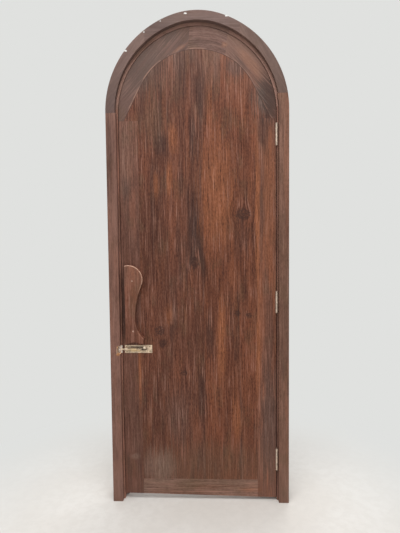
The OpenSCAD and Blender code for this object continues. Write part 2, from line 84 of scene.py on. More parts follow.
# Colours on the metal, beside its own: rust, a painted shadow for the bolt, and tarnish
RUST = (104, 62, 38)
PAINTED_SHADOW = (44, 36, 30)
TARNISH = (214, 184, 128)

# Noises in the wood: waves to a metre across, into and along the grain, detail and roughness.
# Moss, film and grit go by X, Y and Z instead.
NOISES = {
    "sway": ((6, 6, 2.0), 2, 0.5),
    "drift": ((8, 8, 2.2), 2, 0.5),
    "moss": ((14, 14, 9), 3, 0.6),
    "murk": ((20, 16, 2.6), 3, 0.6),
    "glow": ((32, 24, 2.6), 3, 0.6),
    "film": ((5, 5, 4), 3, 0.6),
    "line": ((165, 130, 6), 2, 0.6),
    "thin": ((270, 200, 9), 2, 0.6),
    "deep": ((190, 150, 7), 2, 0.6),
    "fleck": ((210, 160, 70), 2, 0.6),
    "pores": ((900, 700, 36), 1, 0.5),
    "swell": ((34, 30, 9), 2, 0.5),
    "grit": ((120, 60, 120), 2, 0.6),
}

# Parts of a noise's range, as the low and the high end of a ramp: its middle and its crests
MIDDLE = (0.35, 0.65)
CREST = (0.50, 0.70)

# Width over which the grain sways to and fro
SWAY = 0.005

# A knot pushes the grain's lines apart over this many times its own size, and by this share at
# its centre. Its rings, and the grit that breaks them up, are in radians of a sine.
KNOT_WIDTH = 1.1
KNOT_PUSH = 0.55
KNOT_RINGS = 11.0
KNOT_GRIT = 16.0

# The relief of the fine grain at which the wood has its plain colour, and how pale its crests are
PLAIN_RELIEF = 0.22
SHEEN_SHARE = 0.30

# Heights over which the weather grows, and the grain's contrast falls, to the floor and in the arch
WEATHER_FOOT = (0.35, 0.0)
WEATHER_ARCH = (1.80, 2.10)
GRAIN_FOOT = (0.15, 0.45)
GRAIN_ARCH = (1.75, 2.10)

# Surfaces: roughness at the low and high end of a noise, shine, and strength and depth of the relief
WOOD_ROUGH = (0.72, 0.54)
WOOD_SHINE = 0.22
WOOD_RELIEF = (0.35, 0.0006)
METAL_ROUGH = (0.36, 0.56)
METAL_RELIEF = (0.3, 0.0002)
FLOOR_ROUGH = 0.85
FLOOR_SHINE = 0.2

# A mark is drawn wider than its size by this factor, because its edge fades
MARK_WIDTH = 1.4

# The depth of an ellipse on the door's face, so large that depth doesn't count
ANY_DEPTH = 1000

# The arch rails' inner edge: the circle's centre height and radius, and the lean of the straight
# runs below it
RAIL_IN_Z = 1.812
RAIL_IN_R = 0.283
RUN_ANGLE = 27.5

# Air round the keeper in its notch in the casing, and the depths at which a casing's front begins
NOTCH_AIR = 0.0004
CASING_FRONT = (-0.044, -0.056)

# The pale strip round the pull, rubbed wear with a painted highlight from above: how far it starts
# before the pull's front and ends behind it
PULL_PALE_BEFORE = 0.0002
PULL_PALE_BEHIND = 0.0045

# Marks on the leaf's face: kind, centre (x, z), half size, strength and, for some, their lean
MARKS = [
    ("plum", (-0.019, 1.70), (0.018, 0.12), 0.8),
    ("plum", (-0.017, 1.29), (0.034, 0.16), 0.85),
    ("orange", (0.085, 1.45), (0.075, 0.26), 0.65),
    ("orange", (0.274, 1.30), (0.010, 0.40), 0.9),
    ("orange", (0.276, 0.70), (0.010, 0.24), 0.8),
    ("orange", (-0.114, 1.70), (0.022, 0.07), 0.7),
    ("orange", (-0.131, 1.52), (0.016, 0.08), 0.75),
    ("orange", (-0.191, 1.49), (0.012, 0.06), 0.6),
    ("plum", (-0.165, 1.68), (0.035, 0.06), 0.7),
    ("plum", (-0.332, 1.48), (0.030, 0.05), 0.6),
    ("plum", (0.195, 1.25), (0.030, 0.09), 0.5),
    ("plum", (0.049, 0.78), (0.022, 0.10), 0.6),
    ("orange", (0.105, 0.78), (0.018, 0.20), 0.9),
    ("orange", (0.174, 0.39), (0.020, 0.10), 0.7),
    ("orange", (-0.281, 0.62), (0.008, 0.18), 0.7),
    ("orange", (-0.138, 0.885), (0.022, 0.050), 0.5),
    # Painted shade: a dark strip on the left stile in the deep channel between the casing and the pull
    ("plum", (-0.351, 0.94), (0.009, 0.19), 0.9),
    ("plum", (0.013, 0.49), (0.026, 0.13), 0.6),
    ("plum", (0.325, 0.60), (0.030, 0.30), 0.4),
    ("orange", (0.325, 1.45), (0.025, 0.35), 0.5),
    ("dust", (-0.190, 0.16), (0.075, 0.085), 0.7),
    ("olive", (-0.060, 0.070), (0.060, 0.030), 0.5),
    ("orange", (0.235, 0.048), (0.050, 0.010), 0.4),
    ("dust", (-0.311, 0.208), (0.022, 0.014), 0.5),
    ("plum", (-0.034, 1.150), (0.012, 0.080), 0.8, 12),
    ("plum", (0.016, 1.150), (0.012, 0.090), 0.8, -10),
    ("plum", (-0.065, 2.00), (0.022, 0.10), 0.6),
    ("plum", (0.020, 1.86), (0.018, 0.14), 0.6),
    ("slate", (0.308, 1.87), (0.052, 0.095), 1.0),
    ("mauve", (0.176, 2.015), (0.045, 0.050), 0.8),
    ("tan", (0.243, 2.030), (0.021, 0.080), 0.5, -38),
    ("tan", (-0.075, 2.100), (0.009, 0.045), 0.4, 56),
    ("plum", (0.335, 1.86), (0.045, 0.13), 0.7),
    ("plum", (0.300, 1.72), (0.026, 0.09), 0.6),
    ("tan", (0.128, 2.112), (0.013, 0.011), 0.6),
    ("slate", (-0.121, 2.165), (0.05, 0.04), 0.6),
    ("slate", (-0.250, 2.04), (0.12, 0.13), 0.6),
    ("dust", (-0.335, 1.62), (0.035, 0.20), 0.3),
    ("mauve", (0.325, 0.33), (0.045, 0.30), 0.8),
    ("mauve", (-0.10, 0.40), (0.06, 0.14), 0.5),
    ("olive", (0.05, 0.16), (0.26, 0.12), 0.35),
    ("olive", (-0.20, 1.78), (0.05, 0.10), 0.4),
]
MARK_COLOURS = {
    "plum": (68, 47, 40),
    "orange": (151, 92, 60),
    "tan": (154, 110, 88),
    "dust": (134, 108, 94),
    "slate": (84, 70, 63),
    "olive": (104, 82, 64),
    "mauve": (99, 75, 66),
}

# Knots on the leaf's face: centre (x, z) and half size
KNOTS = [
    ((0.208, 1.352), (0.046, 0.034)),
    ((0.180, 0.893), (0.017, 0.016)),
    ((0.232, 0.884), (0.017, 0.015)),
    ((-0.186, 0.812), (0.030, 0.030)),
    ((-0.170, 0.752), (0.024, 0.024)),
    ((-0.074, 0.612), (0.020, 0.018)),
    ((-0.016, 1.130), (0.024, 0.036)),
]

# Specks of paint on the arched casings: centre (x, z), half size and strength
SPECKS = {
    "casing_arch_left": [((-0.316, 2.085), (0.007, 0.005), 0.8), ((-0.232, 2.165), (0.006, 0.005), 0.7)],
    "casing_crown": [
        ((-0.157, 2.211), (0.006, 0.004), 0.5),
        ((-0.045, 2.241), (0.008, 0.004), 0.9),
        ((0.138, 2.226), (0.008, 0.004), 0.9),
    ],
}

# Soft patches on the bolt: tarnish on the plate, and painted shadow in a line along the top of the rod
# and in a crescent under the knob. Each has a centre (x, z), half size, colour and strength
BOLT_TARNISH_AND_SHADOWS = [
    ((-0.306, 0.7220), (0.036, 0.012), TARNISH, 0.6),
    ((-0.293, 0.7360), (0.060, 0.0046), PAINTED_SHADOW, 0.95),
    ((-0.258, 0.7270), (0.022, 0.0080), PAINTED_SHADOW, 0.95),
]

# The wood of each piece of the leaf and of the frame, as wood() takes it
FIELD = (103, 62, 46)
RED = (112, 65, 45)
LEAF_WOOD = {
    "plank_1": dict(seed=1.0, tone=FIELD, orange=0.20),
    "plank_2": dict(seed=2.3, tone=FIELD, orange=0.25),
    "plank_3": dict(seed=3.1, tone=FIELD, orange=0.25),
    "plank_4": dict(seed=4.7, tone=FIELD, orange=0.25),
    "plank_5": dict(seed=5.2, tone=RED, orange=0.45),
    "plank_6": dict(seed=6.9, tone=RED, orange=0.45),
    "plank_7": dict(seed=7.4, tone=RED, orange=0.35),
    "stile_left": dict(seed=8.8, tone=(108, 72, 59), spread=0.85, orange=0.15),
    "stile_right": dict(seed=9.6, tone=(122, 80, 63), spread=0.85, orange=0.5),
    "bottom_rail": dict(seed=10.5, tone=(145, 108, 92), turn=90, orange=0.3, grey=0.15),
    "arch_rail_left": dict(seed=11.3, tone=(103, 78, 70), turn=42, spread=0.4, orange=0.05),
    "arch_rail_crown": dict(seed=12.9, tone=(110, 83, 74), turn=90, bend=-1.7, spread=1.0, orange=0.1),
    "arch_rail_right": dict(seed=13.4, tone=(113, 80, 68), turn=-42, spread=0.5, orange=0.2),
}
FRAME_WOOD = {
    "casing_left": dict(seed=20.1, tone=(122, 88, 76), spread=0.6, orange=0.15),
    "casing_right": dict(seed=21.7, tone=(117, 84, 69), spread=0.7, orange=0.2),
    "casing_arch_left": dict(seed=22.2, tone=(104, 83, 77), turn=38, spread=0.4, orange=0.05),
    "casing_crown": dict(seed=23.8, tone=(103, 83, 78), turn=90, spread=0.4, orange=0.05),
    "casing_arch_right": dict(seed=24.5, tone=(104, 82, 74), turn=-30, spread=0.4, orange=0.05),
    # The linings are laid lighter than the casings: painted light on recessed faces in the casings'
    # shade, most in the head and left linings
    "jamb_lining_left": dict(seed=25.3, tone=(150, 106, 90), spread=0.6, orange=0.1),
    "jamb_lining_right": dict(seed=26.6, tone=(130, 92, 79), spread=0.6, orange=0.1),
    "head_lining_left": dict(seed=27.9, tone=(152, 116, 103), turn=42, spread=0.5, orange=0.05),
    "head_lining_crown": dict(seed=28.4, tone=(152, 116, 103), turn=90, spread=0.5, orange=0.05),
    "head_lining_right": dict(seed=29.0, tone=(152, 116, 103), turn=-42, spread=0.5, orange=0.05),
}
PULL_WOOD = dict(seed=31.5, tone=(115, 70, 53), spread=0.8, orange=0.3)
DOWEL_WOOD = dict(seed=33.0, tone=(150, 112, 84), orange=0.1)

# Metals, as metal() takes them, and the nodes that each is on
METALS = {
    "bolt_metal": dict(tone=(232, 206, 176), stain=(120, 96, 70), seed=1.0, stains_and_shadows=BOLT_TARNISH_AND_SHADOWS),
    "knob_metal": dict(tone=(236, 216, 190), stain=(140, 114, 86), seed=5.0),
    # The keeper's tone is a lighter copy of the bolt's metal: painted light on a part that sits in the
    # shade of its notch
    "keeper_metal": dict(tone=(250, 236, 222), stain=(206, 182, 160), seed=6.0, metallic=0.1),
    "hinge_metal": dict(tone=(224, 202, 182), stain=(190, 164, 136), seed=2.0),
    "screw_metal": dict(tone=(170, 146, 120), stain=(104, 80, 62), seed=3.0),
    "pull_screw_metal": dict(tone=(192, 152, 132), stain=(140, 104, 86), seed=4.0, metallic=0.1),
}
HINGE_LEVELS = ("bottom", "middle", "top")
HINGE_PARTS = ("frame_plate", "leaf_plate", "pin")
METAL_NODES = {
    "bolt_metal": ["bolt_plate", "bolt_guides", "bolt_rod"],
    "knob_metal": ["bolt_knob"],
    "keeper_metal": ["bolt_keeper"],
    "hinge_metal": [f"hinge_{level}_{part}" for level in HINGE_LEVELS for part in HINGE_PARTS],
    "screw_metal": ["hinge_frame_screws", "hinge_leaf_screws"],
}

# Softened edges of the wood: width, steps and the least angle between faces that is softened.
# Points closer than WELD_WITHIN become one first.
EDGE_WIDTH = 0.0008
EDGE_STEPS = 2
EDGE_ANGLE = 50
WELD_WITHIN = 0.00001

# Slotted screws: radius of head and shank, and length. Alike in all are the number of their sides,
# their tip as a share of the shank and the way in which they point.
LARGE_SCREW = (0.004, 0.002, 0.050)
SMALL_SCREW = (0.003, 0.0015, 0.016)
SCREW_SIDES = 48
TIP_SHARE = 0.25
INWARD = Vector((0, 1, 0))

# A slot's half width as a share of the head, its depth as a share of the countersink, and how far
# its ends draw in at the bottom. Each screw of a set is turned on from the one before, in radians.
SLOT_HALF = 0.2
SLOT_DEPTH = 0.35
SLOT_END = 0.97
FIRST_TURN = 0.7
NEXT_TURN = 1.9

# The nodes whose screws are slotted: their centres (x, z), size, metal and body
PULL_SCREWS = [(-0.306, 1.050), (-0.304, 0.816)]
BOLT_SCREWS = [(-0.341, 0.740), (-0.341, 0.714), (-0.232, 0.738), (-0.232, 0.716)]
KEEPER_SCREWS = [(-0.372, 0.740), (-0.372, 0.714)]
SLOTTED = {
    "pull_screws": (PULL_SCREWS, LARGE_SCREW, "pull_screw_metal", "leaf"),
    "bolt_screws": (BOLT_SCREWS, SMALL_SCREW, "screw_metal", "leaf"),
    "keeper_screws": (KEEPER_SCREWS, SMALL_SCREW, "knob_metal", "frame"),
}


def linear(colour):
    """Turns a screen colour into the linear values of a shader."""
    out = []
    for value in colour:
        c = value / 255
        out.append(c / 12.92 if c <= 0.04045 else ((c + 0.055) / 1.055) ** 2.4)
    return (*out, 1.0)


def shade(colour, factor):
    """The colour made lighter or darker."""
    return tuple(value * factor for value in colour)


def place_camera():
    data = bpy.data.cameras.new("camera")
    data.sensor_width = SENSOR
    data.lens = SENSOR * FOCAL / PHOTO_HEIGHT
    camera = bpy.data.objects.new("camera", data)
    bpy.context.scene.collection.objects.link(camera)
    bpy.context.scene.camera = camera
    pitch = math.radians(PITCH)
    yaw = math.radians(YAW)
    roll = math.radians(ROLL)
    ahead = Vector((math.sin(yaw) * math.cos(pitch), math.cos(yaw) * math.cos(pitch), math.sin(pitch)))
    level = Vector((math.cos(yaw), -math.sin(yaw), 0))
    right = level * math.cos(roll) + level.cross(ahead) * math.sin(roll)
    up = right.cross(ahead)
    turn = Matrix((right, up, -ahead)).transposed()
    camera.matrix_world = Matrix.Translation(EYE) @ turn.to_4x4()


class Net:
    """Writes the nodes of one material, an expression to a line. place is a point of the surface
    and x, y and z are its parts. colour is the surface's colour so far."""

    def __init__(self, name):
        self.material = bpy.data.materials.new(name)
        self.material.use_nodes = True
        self.tree = self.material.node_tree
        self.shader = self.tree.nodes["Principled BSDF"]
        self.place = self.node("ShaderNodeTexCoord").outputs["Object"]
        self.x, self.y, self.z = self.split(self.place)
        self.colour = None

    def node(self, kind, **settings):
        new = self.tree.nodes.new(kind)
        for key, value in settings.items():
            setattr(new, key, value)
        return new

    def put(self, socket, value):
        if isinstance(value, bpy.types.NodeSocket):
            self.tree.links.new(value, socket)
        else:
            socket.default_value = value

    def surface(self, name, value):
        self.put(self.shader.inputs[name], value)

    def math(self, operation, a, b=0.0, c=0.0, clamp=False):
        new = self.node("ShaderNodeMath", operation=operation, use_clamp=clamp)
        for socket, value in zip(new.inputs, (a, b, c)):
            self.put(socket, value)
        return new.outputs[0]

    def times(self, first, *others):
        """The product of the values."""
        product = first
        for value in others:
            product = self.math("MULTIPLY", product, value)
        return product

    def add(self, total, value, weight):
        """The total plus value times weight."""
        return self.math("MULTIPLY_ADD", value, weight, total)

    def centred(self, noise):
        """A noise that swings about 0."""
        return self.math("SUBTRACT", noise, 0.5)

    def split(self, vector):
        new = self.node("ShaderNodeSeparateXYZ")
        self.put(new.inputs[0], vector)
        return new.outputs

    def join(self, *parts):
        new = self.node("ShaderNodeCombineXYZ")
        for socket, value in zip(new.inputs, parts):
            self.put(socket, value)
        return new.outputs[0]

    def length(self, vector):
        new = self.node("ShaderNodeVectorMath", operation="LENGTH")
        self.put(new.inputs[0], vector)
        return new.outputs["Value"]

    def mapping(self, vector, scale=(1, 1, 1), turn=(0, 0, 0), shift=(0, 0, 0), kind="POINT"):
        new = self.node("ShaderNodeMapping", vector_type=kind)
        self.put(new.inputs["Vector"], vector)
        new.inputs["Scale"].default_value = scale
        new.inputs["Rotation"].default_value = turn
        new.inputs["Location"].default_value = shift
        return new.outputs[0]

    def noise(self, vector, waves, detail, rough, shift=(0, 0, 0)):
        """A noise with that many waves to a metre along each axis."""
        new = self.node("ShaderNodeTexNoise")
        self.put(new.inputs["Vector"], self.mapping(vector, waves, shift=shift))
        new.inputs["Scale"].default_value = 1.0
        new.inputs["Detail"].default_value = detail
        new.inputs["Roughness"].default_value = rough
        return new.outputs["Fac"]

    def ramp(self, value, low, high, bottom=0.0, top=1.0):
        """Goes smoothly from bottom to top while value goes from low to high."""
        new = self.node("ShaderNodeMapRange", interpolation_type="SMOOTHSTEP")
        self.put(new.inputs["Value"], value)
        new.inputs["From Min"].default_value = low
        new.inputs["From Max"].default_value = high
        self.put(new.inputs["To Min"], bottom)
        self.put(new.inputs["To Max"], top)
        return new.outputs["Result"]

    def mix(self, share, a, b):
        """Goes from colour a to colour b. Each is another node's output or a screen colour."""
        new = self.node("ShaderNodeMix", data_type="RGBA")
        self.put(new.inputs["Factor"], share)
        # Inputs 6 and 7 and output 2 are the ones for colours
        for index, colour in ((6, a), (7, b)):
            self.put(new.inputs[index], linear(colour) if isinstance(colour, tuple) else colour)
        return new.outputs[2]

    def coat(self, share, colour):
        """Lays a colour over the surface's own."""
        self.colour = self.mix(share, self.colour, colour)
        self.surface("Base Color", self.colour)

    def bump(self, height, strength, distance):
        new = self.node("ShaderNodeBump")
        new.inputs["Strength"].default_value = strength
        new.inputs["Distance"].default_value = distance
        self.put(new.inputs["Height"], height)
        self.surface("Normal", new.outputs[0])

    def reach(self, centre, size, lean=0.0):
        """How far a point is from the centre (x, z) of an ellipse on the door's face that lean
        turns: 1 on the ellipse itself."""
        scale = (size[0], ANY_DEPTH, size[1])
        turn = (0, math.radians(lean), 0)
        return self.length(self.mapping(self.place, scale, turn, (centre[0], 0, centre[1]), "TEXTURE"))

    def blob(self, centre, size, wobble, edge, lean=0.0):
        """1 inside a soft ellipse on the door's face and 0 outside it. wobble roughens its edge."""
        reach = self.math("ADD", self.reach(centre, size, lean), wobble)
        return self.ramp(reach, 1.0, 1.0 - edge, 0.0, 1.0)


def touches(box, centre, size, margin=1):
    """True if an ellipse on the face, made larger by margin, reaches into a node's box."""
    low, high = box
    across = low[0] - margin * size[0] < centre[0] < high[0] + margin * size[0]
    along = low[2] - margin * size[1] < centre[1] < high[2] + margin * size[1]
    return across and along


def round_knot(net, across, along, lean, centre, size):
    """Pushes the grain's lines away from a knot, less and less with the distance from it."""
    knot_across = centre[0] * math.cos(lean) - centre[1] * math.sin(lean)
    knot_along = centre[0] * math.sin(lean) + centre[1] * math.cos(lean)
    off_across = net.math("SUBTRACT", across, knot_across + SWAY / 2)
    off_along = net.math("SUBTRACT", along, knot_along)
    squares = []
    for off, half in ((off_across, size[0]), (off_along, size[1])):
        share = net.math("ABSOLUTE", net.math("DIVIDE", off, KNOT_WIDTH * half))
        squares.append(net.math("POWER", share, 2.0))
    fade = net.math("EXPONENT", net.times(net.math("ADD", *squares), -1.0))
    return net.math("SUBTRACT", across, net.times(off_across, fade, KNOT_PUSH))


def fibres(net, seed, turn, bend, knots):
    """Grain coordinates across, into and along the wood, which sway, bend and go round knots."""
    lean = math.radians(turn)
    grain = net.mapping(net.place, turn=(0, -lean, 0))
    across, depth, along = net.split(grain)
    across = net.add(across, net.noise(grain, *NOISES["sway"], shift=(seed, 0, seed)), SWAY)
    if bend:
        across = net.add(across, net.times(along, along), bend)
    for centre, size in knots:
        across = round_knot(net, across, along, lean, centre, size)
    return net.join(across, depth, along)


def lay_regions(net, fibre, seed, tone, orange):
    """A slow drift in tone, and broad regions in it: greenish, murky and glowing ones."""
    drift = net.noise(fibre, *NOISES["drift"], shift=(0, seed, seed * 5))
    moss = net.noise(net.place, *NOISES["moss"], shift=(seed, 0, seed * 8))
    murk = net.noise(fibre, *NOISES["murk"], shift=(seed * 6, 0, seed))
    glow = net.noise(fibre, *NOISES["glow"], shift=(seed * 7, 0, seed))
    net.colour = net.mix(net.ramp(drift, *MIDDLE), shade(tone, 0.92), shade(tone, 1.08))
    net.coat(net.ramp(moss, 0.50, 0.68, 0.0, 0.35), OLIVE)
    net.coat(net.ramp(murk, *CREST, 0.0, 0.5), PLUM)
    net.coat(net.ramp(glow, 0.46, 0.68, 0.0, orange), ORANGE)


def lay_weather(net, seed, grey):
    """A grey film of weather that is thicker at the top of the arch and near the floor."""
    film = net.noise(net.place, *NOISES["film"], shift=(seed, 0, 0))
    top = net.ramp(net.z, *WEATHER_ARCH, 0.0, 0.38)
    low = net.ramp(net.z, *WEATHER_FOOT, 0.0, 0.20)
    veil = net.math("ADD", net.math("ADD", top, low), grey)
    net.coat(net.math("MULTIPLY", net.ramp(film, 0.32, 0.66), veil, clamp=True), DUST)


def lay_marks(net, line, marks):
    """Marks with edges that run along the streaks."""
    wobble = net.times(net.centred(line), 2.2)
    streaks = net.ramp(line, 0.40, 0.62, 0.75, 1.2)
    for kind, centre, size, share, *lean in marks:
        wide = [half * MARK_WIDTH for half in size]
        spot = net.times(net.blob(centre, wide, wobble, 0.65, *lean), streaks)
        net.coat(net.math("MULTIPLY", spot, share, clamp=True), MARK_COLOURS[kind])


def raise_grain(net, fibre, line, seed):
    """The relief of the fine grain: pale lines at two widths, dark ones, flecks and pores."""
    thin = net.noise(fibre, *NOISES["thin"], shift=(seed * 4, 0, seed))
    deep = net.noise(fibre, *NOISES["deep"], shift=(seed, 4, seed * 2))
    fleck = net.noise(fibre, *NOISES["fleck"], shift=(seed, 0, 0))
    pores = net.noise(fibre, *NOISES["pores"], shift=(seed, 0, 0))
    swell = net.noise(fibre, *NOISES["swell"], shift=(seed * 2, 0, 0))
    rise = net.times(net.ramp(line, *CREST), net.ramp(swell, *MIDDLE, 0.6, 1.3), 0.75)
    rise = net.add(rise, net.ramp(thin, *CREST), 0.5)
    rise = net.add(rise, net.ramp(deep, *CREST), -0.35)
    rise = net.add(rise, net.centred(fleck), 1.4)
    return net.add(rise, net.ramp(pores, 0.56, 0.72), -0.25)


def lay_grain(net, rise, spread):
    """Dark grooves and pale crests, fainter near the floor and at the top of the arch."""
    contrast = net.ramp(net.z, *GRAIN_FOOT, 0.6 * spread, spread)
    contrast = net.times(contrast, net.ramp(net.z, *GRAIN_ARCH, 1.0, 0.7))
    relief = net.times(net.math("SUBTRACT", rise, PLAIN_RELIEF), contrast)
    net.coat(net.math("MULTIPLY", relief, -1.0, clamp=True), GROOVE)
    net.coat(net.math("MULTIPLY", relief, SHEEN_SHARE, clamp=True), SHEEN)


def lay_knots(net, seed, knots):
    """Dark rings round each knot's centre, broken up by mottling."""
    grit = net.noise(net.place, *NOISES["grit"], shift=(seed, 0, 0))
    for centre, size in knots:
        reach = net.reach(centre, size)
        rough = net.add(reach, net.centred(grit), 1.4)
        turns = net.add(net.times(reach, KNOT_RINGS), grit, KNOT_GRIT)
        rings = net.ramp(net.math("SINE", turns), -0.7, 0.7, 0.4, 1.0)
        net.coat(net.times(net.ramp(rough, 1.2, 0.3, 0.0, 0.9), rings), DARK)


def wood(node, seed, tone, turn=0.0, bend=0.0, spread=1.12, orange=0.3, grey=0.0, marked=False):
    """Stained softwood for one CAD node. turn leans its grain from upright and bend curves it,
    spread is the grain's contrast, and orange and grey say how much it glows and is weathered.
    Where it is marked, it has the marks and knots of the leaf's face that reach into it."""
    net = Net("wood_" + node)
    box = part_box(node)
    marks = [mark for mark in MARKS if marked and touches(box, mark[1], mark[2])]
    knots = [knot for knot in KNOTS if marked and touches(box, *knot, margin=2)]
    fibre = fibres(net, seed, turn, bend, knots)
    line = net.noise(fibre, *NOISES["line"], shift=(seed * 3, 0, seed))
    lay_regions(net, fibre, seed, tone, orange)
    lay_weather(net, seed, grey)
    lay_marks(net, line, marks)
    rise = raise_grain(net, fibre, line, seed)
    lay_grain(net, rise, spread)
    lay_knots(net, seed, knots)
    net.surface("Roughness", net.ramp(line, 0.3, 0.7, *WOOD_ROUGH))
    net.surface("Specular IOR Level", WOOD_SHINE)
    net.bump(rise, *WOOD_RELIEF)
    return net


def speckle(net, specks):
    """White paint left on the front of a casing."""
    wobble = net.times(net.centred(net.noise(net.place, (160, 160, 160), 3, 0.6)), 1.6)
    front = net.ramp(net.y, *CASING_FRONT)
    for centre, size, share in specks:
        net.coat(net.times(net.blob(centre, size, wobble, 0.5), share, front), PAINT)


def paint_notch_cut_and_light(net):
    """The fresh cut of the keeper's notch in the casing, laid lighter than the raw wood as painted light
    in the notch's shade, and the chips broken out beside it.
    """
    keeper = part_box("bolt_keeper")
    left = keeper[0][0] - NOTCH_AIR
    bottom = keeper[0][2] - NOTCH_AIR
    top = keeper[1][2] + NOTCH_AIR
    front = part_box("casing_left")[0][1]
    grit = net.noise(net.place, (200, 200, 60), 3, 0.6)
    inside = net.times(
        net.ramp(net.x, left - 0.0008, left),
        net.ramp(net.y, front, front + 0.0006),
        net.ramp(net.z, bottom - 0.0012, bottom - 0.0002),
        net.ramp(net.z, top + 0.0012, top + 0.0002),
    )
    # Raw wood up to a fifth lighter than its own colour: painted light in the shaded notch
    net.coat(inside, net.mix(net.ramp(grit, *MIDDLE), shade(RAW, 0.85), shade(RAW, 1.2)))
    chips = net.times(net.centred(grit), 2.0)
    chip = net.blob((left + 0.004, bottom - 0.003), (0.010, 0.009), chips, 0.5)
    net.coat(net.times(chip, 0.75), CHIP)
    nick = net.blob((left - 0.001, (bottom + top) / 2 - 0.006), (0.003, 0.016), chips, 0.5)
    net.coat(net.times(nick, 0.8), NICK)


def pull_wear_and_highlight(net):
    """The bevel of the pull, rubbed pale by hands round its top, with a painted highlight of light from
    above that grows towards the top: a strip between two depths.
    """
    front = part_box("pull_plate")[0][1]
    low = front - PULL_PALE_BEFORE
    high = front + PULL_PALE_BEHIND
    rough = net.noise(net.place, (90, 90, 90), 3, 0.6)
    strip = net.times(
        net.ramp(net.y, high, (low + high) / 2),
        net.ramp(net.y, low, low + 0.001),
        net.ramp(rough, 0.32, 0.52, 0.25, 1.0),
        net.ramp(net.z, 0.97, 1.06, 0.15, 1.0),
    )
    # Rubbed wear and a painted highlight on the pull's top edge
    net.coat(strip, RUBBED_AND_HIGHLIGHT)


def wear_seam(net):
    """The inner edge of the arch rails: a dark joint with a pale, rubbed arris beside it. past is
    how far a point is beyond the edge, which is straight below the circle's ends."""
    near = net.mapping(net.place, scale=(1, 0, 1), shift=(0, 0, -RAIL_IN_Z))
    x, _, height = net.split(near)
    side = net.math("ABSOLUTE", x)
    lean = math.radians(RUN_ANGLE)
    run = net.add(net.times(side, math.cos(lean)), height, math.sin(lean))
    curved = net.math("GREATER_THAN", height, net.times(side, math.tan(lean)))
    bow = net.times(curved, net.math("SUBTRACT", net.length(near), run))
    past = net.math("SUBTRACT", net.math("ADD", run, bow), RAIL_IN_R)
    rough = net.noise(net.place, (14, 14, 14), 3, 0.6)
    pale = net.times(
        net.ramp(past, 0.001, 0.003),
        net.ramp(past, 0.009, 0.005),
        net.ramp(rough, 0.40, 0.58, 0.0, 0.75),
        net.ramp(x, -0.05, 0.15, 1.0, 0.45),
    )
    net.coat(pale, ARRIS)
    dark = net.times(net.ramp(past, 0.0025, 0.001), net.ramp(rough, 0.3, 0.5, 0.4, 0.9))
    net.coat(dark, DARK)


def metal(name, tone, stain, seed, metallic=0.4, stains_and_shadows=()):
    """Plated steel: cloudy, with darker rubs and small rust freckles, and soft patches of tarnish and
    painted shadow laid over it.
    """
    net = Net(name)
    cloud = net.noise(net.place, (60, 60, 60), 3, 0.6, shift=(seed, 0, 0))
    rub = net.noise(net.place, (240, 240, 90), 4, 0.7, shift=(0, seed, 0))
    fleck = net.noise(net.place, (420, 420, 420), 2, 0.5, shift=(0, 0, seed))
    net.colour = net.mix(net.ramp(cloud, *MIDDLE), tone, shade(tone, 0.8))
    net.coat(net.ramp(rub, 0.52, 0.70, 0.0, 0.7), stain)
    net.coat(net.ramp(fleck, 0.66, 0.76, 0.0, 0.8), RUST)
    wobble = net.times(net.centred(cloud), 1.5)
    # Soft patches of tarnish and of painted shadow
    for centre, size, colour, share in stains_and_shadows:
        net.coat(net.times(net.blob(centre, size, wobble, 0.7), share), colour)
    net.surface("Roughness", net.ramp(cloud, 0.3, 0.7, *METAL_ROUGH))
    net.surface("Metallic", metallic)
    net.bump(rub, *METAL_RELIEF)
    return net.material


def paint_node(node, material):
    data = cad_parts[node].data
    data.materials.clear()
    data.materials.append(material)


def paint_leaf():
    for node, look in LEAF_WOOD.items():
        net = wood(node, marked=True, **look)
        if node.startswith("arch_rail"):
            wear_seam(net)
        paint_node(node, net.material)
    pull = wood("pull_plate", **PULL_WOOD)
    pull_wear_and_highlight(pull)
    paint_node("pull_plate", pull.material)
    paint_node("arch_dowels", wood("arch_dowels", **DOWEL_WOOD).material)


def paint_frame():
    for node, look in FRAME_WOOD.items():
        net = wood(node, **look)
        speckle(net, SPECKS.get(node, []))
        if node == "casing_left":
            paint_notch_cut_and_light(net)
        paint_node(node, net.material)


def paint_metal():
    """Paints the metal pieces and puts slotted screws in place of those that show."""
    metals = {name: metal(name, **look) for name, look in METALS.items()}
    for name, nodes in METAL_NODES.items():
        for node in nodes:
            paint_node(node, metals[name])
    for node, (places, size, name, body) in SLOTTED.items():
        add_screws(node, places, size, metals[name], body)


